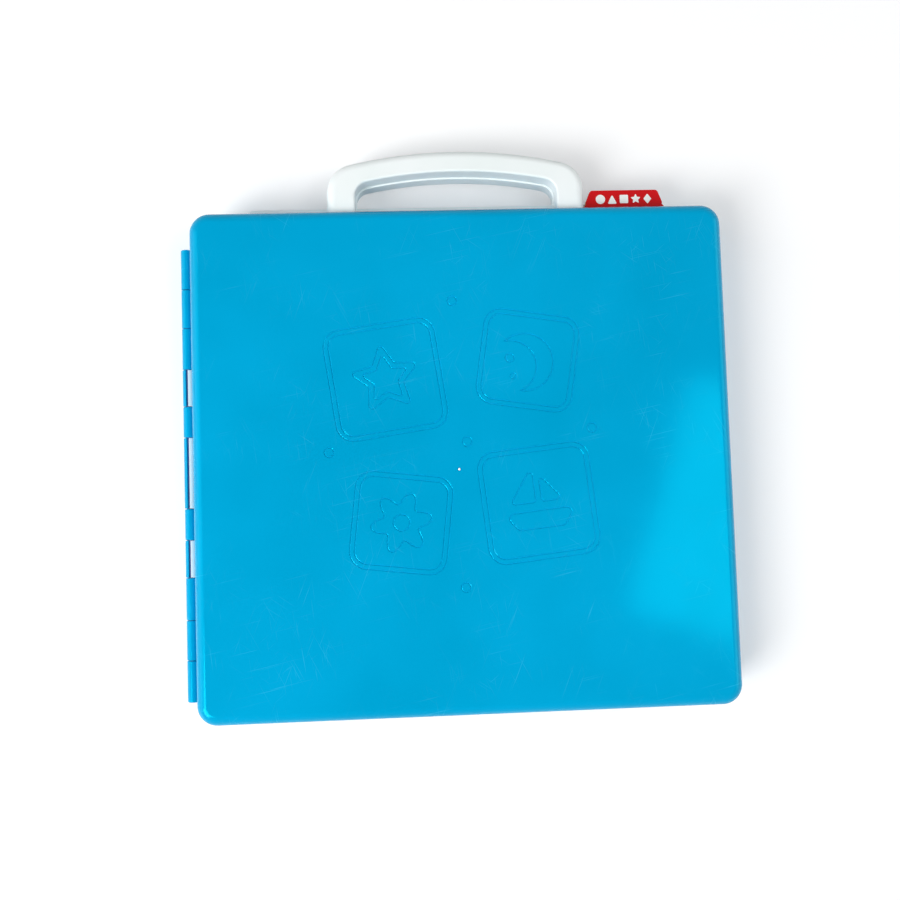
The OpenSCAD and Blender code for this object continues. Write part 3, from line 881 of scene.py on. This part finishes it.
def letter_shape(letter):
    """One printed letter, flat at z = 0 and a hair thick."""
    if letter == "m":
        return plate([LETTER_M], -INK_T, INK_T)
    text = bpy.data.curves.new("letter", "FONT")
    text.body = letter.upper()
    text.size = LETTER_SIZE
    text.offset = 0.22
    text.resolution_u = 4
    text.extrude = INK_T
    obj = bpy.data.objects.new("letter", text)
    bpy.context.scene.collection.objects.link(obj)
    bm = taken(obj)
    xs = [v.co.x for v in bm.verts]
    ys = [v.co.y for v in bm.verts]
    bmesh.ops.translate(bm, vec=(-(min(xs) + max(xs)) / 2, -(min(ys) + max(ys)) / 2, 0),
                        verts=bm.verts)
    return bm


def make_tiles():
    """Tiles of each letter, as they lie in their well: two stacks of two."""
    for letter, (x, y) in zip(LETTERS, well_places()):
        low = node_box(f"tile_{letter}")[0].z
        high = node_box(f"tile_{letter}")[1].z
        parts = []
        for side in (-1, 1):
            at = (x, y + side * (TILE_W + 1) / 2)
            for z in (low, high - TILE_T):
                parts.append(slab(TILE_W, TILE_W, z, z + TILE_T, TILE_R, at=at, top=0.7,
                                  bottom=0.5, corner_steps=5, edge_steps=3))
                mark = moved(letter_shape(letter), at[0], at[1], z + TILE_T)
                parts.append(inked(mark, 1))
        vowel = letter in VOWELS
        piece(f"letter_tiles_{letter}", joined(parts), "base",
              [f"tile_{letter}"],
              [VOWEL_RED, WHITE_INK] if vowel else [IVORY, NAVY_INK])


def card_outline():
    """A card with its tab, whose shoulders flare out at its foot."""
    foot_y = HALF_H + 2.5
    tab = softened([(TAB_FOOT[1], foot_y), (TAB_HEAD[1] - 0.2, TAB_TOP), (TAB_HEAD[0] + 0.2, TAB_TOP),
                    (TAB_FOOT[0], foot_y)], 1.9, 5)
    tab = [p for p in tab if p.y > foot_y + 0.8]
    high = CARD_Y[1]
    right = CARD_HALF_W - 4
    return (arc((right, high - 4), 4, 0, 90, 5) + [Vector((TAB_FOOT[1], high)),
            Vector((TAB_FOOT[1], foot_y))] + tab
            + [Vector((TAB_FOOT[0], foot_y)), Vector((TAB_FOOT[0], high))]
            + arc((-right, high - 4), 4, 90, 180, 5)
            + arc((-right, CARD_Y[0] + 4), 4, 180, 270, 5)
            + arc((right, CARD_Y[0] + 4), 4, 270, 360, 5))


# Plain white shapes along the tab
TAB_SHAPE = 2.55
TAB_SHAPE_Y = 138.0
TAB_PITCH = 6.4


def tab_shapes():
    r = TAB_SHAPE
    square = rectangle(1.8 * r, 1.8 * r, 0.5, steps=3)
    shapes = [circle((0, 0), r, 28), softened([(0, r), (-r, -r), (r, -r)], 0.5, 3), square,
              softened(star(1.15 * r, 0.55 * r), 0.25, 2),
              softened([(0, 1.1 * r), (-0.85 * r, 0), (0, -1.1 * r), (0.85 * r, 0)], 0.4, 3)]
    middle = sum(TAB_HEAD) / 2
    return [spun(s, 0, (middle + (i - 2) * TAB_PITCH, TAB_SHAPE_Y)) for i, s in enumerate(shapes)]


def make_cards():
    for k, (board, colour) in enumerate(zip(CARD_BOARDS, CARD_COLOURS)):
        low, high = node_box(f"card_{k + 1}")
        parts = [plate([card_outline()], low.z, high.z, 0.08, 1)]
        marks = plate(tab_shapes(), high.z - 0.02, high.z + 0.03)
        parts.append(inked(marks, 1))
        if k == len(CARD_BOARDS) - 1:
            parts += printed_side(low.z)
        piece(f"picture_card_{k + 1}", joined(parts), "lid",
              [f"card_{k + 1}"], [board, WHITE_INK, CREAM_PRINT, NAVY_INK] + CARD_BOARDS)


# On the card that faces the tray: six plain pictures, each with empty boxes to lay tiles on
PRINT_CELLS = [(x, y) for y in (78.0, 4.0, -70.0) for x in (-57.5, 57.5)]
PRINT_T = 0.03
PICTURE_SCALE = 0.85
PICTURE_X = -38.5
FIRST_BOX_X = -10.5


def printed_side(z):
    """Ink on the lower face of a card, each colour a hair below the one it lies on. An ink's
    number is its place in the card's list of materials."""
    def ink(outlines, layer, index):
        low = z - PRINT_T * layer
        return inked(plate(outlines, low - PRINT_T, low + 0.01), index)

    middle_y = sum(CARD_Y) / 2
    parts = [ink([rectangle(224, 222, 6, (0, middle_y))], 0, 2)]
    pictures = [
        (5, [circle((0, 0), 10)] + [spun(rectangle(2.2, 5, 1), 45 * i,
             (-14.5 * math.sin(math.radians(45 * i)), 14.5 * math.cos(math.radians(45 * i))))
             for i in range(8)]),
        (6, [flower(10.5, 3.0, 6)]),
        (7, [crescent(13, 11.5, 7)]),
        (4, [softened([(-13, 2), (13, 2), (0, 14)], 1), rectangle(20, 13, 0.8, (0, -6))]),
        (8, [softened([(-15, -4), (15, -4), (9, -11), (-9, -11)], 2),
             softened([(-1, -1), (-1, 14), (-12, -1)], 1), softened([(1, -1), (1, 11), (9, -1)], 1)]),
        (5, [softened(star(14, 7), 1)]),
    ]
    for (x, y), (index, outlines) in zip(PRINT_CELLS, pictures):
        frame_line = [rectangle(110, 66, 5, (x, y)), rectangle(108, 64, 4, (x, y))]
        parts.append(ink(frame_line, 1, 8))
        small = [[PICTURE_SCALE * Vector(p) for p in o] for o in outlines]
        parts.append(ink([spun(o, 0, (x + PICTURE_X, y)) for o in small], 1, index))
        for i in range(3):
            at = (x + FIRST_BOX_X + (TILE_W + 1) * i, y)
            parts.append(ink([rectangle(TILE_W, TILE_W, 3, at),
                              rectangle(TILE_W - 1.6, TILE_W - 1.6, 2.3, at)], 1, 3))
    return parts


def make_card_pocket():
    """The pocket in the front cover: a panel, and a wall with a lip on three of its sides."""
    low, high = node_box("card_pocket")
    in_x, in_y = CARD_HALF_W + 0.5, CARD_Y[0] - 0.5
    panel_z = node_box("card_1")[1].z + 0.2
    top_y = CARD_Y[1] - 4
    wall_z, lip_z = (low.z, panel_z + 0.1), (low.z, low.z + POCKET_LIP_T)
    holes = [circle((sx * POCKET_SCREW_AT[0], sy * POCKET_SCREW_AT[1]), 1.4, 16)
             for sx in (-1, 1) for sy in (-1, 1)]
    parts = [plate([rectangle(2 * high.x, 2 * high.y, 6)] + holes, panel_z, high.z, 0.2)]
    for x in ((in_x, in_x + POCKET_WALL), (-in_x - POCKET_WALL, -in_x)):
        parts.append(block(x, (in_y - POCKET_WALL, top_y), wall_z, 0.25))
    for x in ((in_x - POCKET_LIP, in_x + 0.5), (-in_x - 0.5, -in_x + POCKET_LIP)):
        parts.append(block(x, (in_y - 0.5, top_y), lip_z, 0.25))
    parts.append(block((-in_x - 1, in_x + 1), (in_y - POCKET_WALL, in_y), wall_z, 0.25))
    parts.append(block((-in_x, in_x), (in_y - 0.5, in_y + POCKET_LIP), lip_z, 0.25))
    return piece("card_pocket_moulding", joined(parts), "lid", ["card_pocket"],
                 [TRAY_WHITE])


make_front_cover()
make_back_cover()
make_handle()
make_middle_frame()
make_hinge_pin()
make_screws()
make_tray()
make_tiles()
make_cards()
make_card_pocket()


# The floor: how much brighter the camera sees it, how far from the case it starts to go to plain
# white and where it is there, and its side, in metres
FLOOR_LIFT = 0.2
FLOOR_FADE = (0.4, 1.4)
FLOOR_SIZE = 6.0
# Each lamp: its name, place in metres, turn in degrees where it faces straight down and None
# where it faces the case, width and height in metres, watts
LAMPS = [
    ("key_from_the_lower_left", (-0.88, -0.66, 1.1), None, (0.6, 0.8), 14.5),
    ("panel_on_the_left", (-0.95, -0.05, 0.55), None, (1.0, 0.9), 4.5),
    ("panel_on_the_right", (0.95, 0.05, 0.5), None, (1.0, 0.5), 2.4),
    ("window_on_the_right", (0.628, -0.085, 1.2), -19, (0.45, 0.43), 2.3),
]
# The room, as it lights the case: a dim dome with a ceiling that is lighter overhead than behind
# the case, and a dark wall in front. Each share grows from one value of the direction's Y to
# another. Where the camera sees the room, straight on or in a gloss, it is plain white.
DOME = 0.16
CEILING = [(0.3, 0.0, 0.36), (-0.35, -0.8, -0.44)]


def seen_rays(tree):
    """1 for what the camera sees, straight on or in a gloss or through a clear piece, else 0."""
    path = add_node(tree, "ShaderNodeLightPath")
    seen = add_node(tree, "ShaderNodeMath", {0: path.outputs["Is Camera Ray"],
                                             1: path.outputs["Is Glossy Ray"]}, operation="ADD")
    return add_node(tree, "ShaderNodeMath", {0: seen.outputs[0],
                                             1: path.outputs["Is Transmission Ray"]},
                    operation="ADD", use_clamp=True).outputs[0]


def white_floor():
    """Seamless white paper. To the camera it is a little brighter than the lamps make it, and
    far from the case it goes to plain white."""
    material, tree = empty_material("matt_white_paper")
    seen = seen_rays(tree)
    where = add_node(tree, "ShaderNodeTexCoord").outputs["Object"]
    away = add_node(tree, "ShaderNodeVectorMath", {0: where}, operation="LENGTH")
    level = add_node(tree, "ShaderNodeMapRange", {"Value": away.outputs["Value"],
                                                  "From Min": FLOOR_FADE[0],
                                                  "From Max": FLOOR_FADE[1],
                                                  "To Min": FLOOR_LIFT, "To Max": 1.0})
    lift = times(tree, seen, level.outputs[0])
    paper = add_node(tree, "ShaderNodeBsdfDiffuse", {"Color": linear("#f1f2f3")})
    glow = add_node(tree, "ShaderNodeEmission", {"Strength": lift})
    both = add_node(tree, "ShaderNodeAddShader", {0: paper.outputs[0], 1: glow.outputs[0]})
    add_node(tree, "ShaderNodeOutputMaterial", {"Surface": both.outputs[0]})
    return material


def floor_and_lamps():
    """White paper under the case, the lamps, and the room around them."""
    bm = bmesh.new()
    bmesh.ops.create_grid(bm, x_segments=1, y_segments=1, size=FLOOR_SIZE / 2)
    bmesh.ops.translate(bm, vec=(0, 0, -0.0002), verts=bm.verts)
    floor = made(bm, "paper_floor")
    floor.data.materials.append(white_floor())
    for name, place, turn, size, power in LAMPS:
        data = bpy.data.lights.new(name, "AREA")
        data.shape = "RECTANGLE"
        data.size, data.size_y = size
        data.energy = power
        lamp = bpy.data.objects.new(name, data)
        lamp.location = place
        if turn is None:
            lamp.rotation_euler = (-Vector(place)).to_track_quat("-Z", "Y").to_euler()
        else:
            lamp.rotation_euler = (0, 0, math.radians(turn))
        bpy.context.scene.collection.objects.link(lamp)
    world = bpy.data.worlds.new("studio_dome")
    bpy.context.scene.world = world
    world.use_nodes = True
    tree = world.node_tree
    tree.nodes.clear()
    where = add_node(tree, "ShaderNodeTexCoord")
    sight = add_node(tree, "ShaderNodeSeparateXYZ", {0: where.outputs["Generated"]})
    light = DOME
    for start, end, strength in CEILING:
        share = add_node(tree, "ShaderNodeMapRange", {"Value": sight.outputs["Y"],
                                                      "From Min": start, "From Max": end,
                                                      "To Min": 0.0, "To Max": strength})
        light = add_node(tree, "ShaderNodeMath", {0: light, 1: share.outputs[0]},
                         operation="ADD").outputs[0]
    light = add_node(tree, "ShaderNodeMath", {0: light, 1: seen_rays(tree)},
                     operation="MAXIMUM").outputs[0]
    sky = add_node(tree, "ShaderNodeBackground", {"Color": (1, 1, 1, 1), "Strength": light})
    add_node(tree, "ShaderNodeOutputWorld", {"Surface": sky.outputs[0]})


bpy.context.scene.view_settings.view_transform = "Standard"
floor_and_lamps()
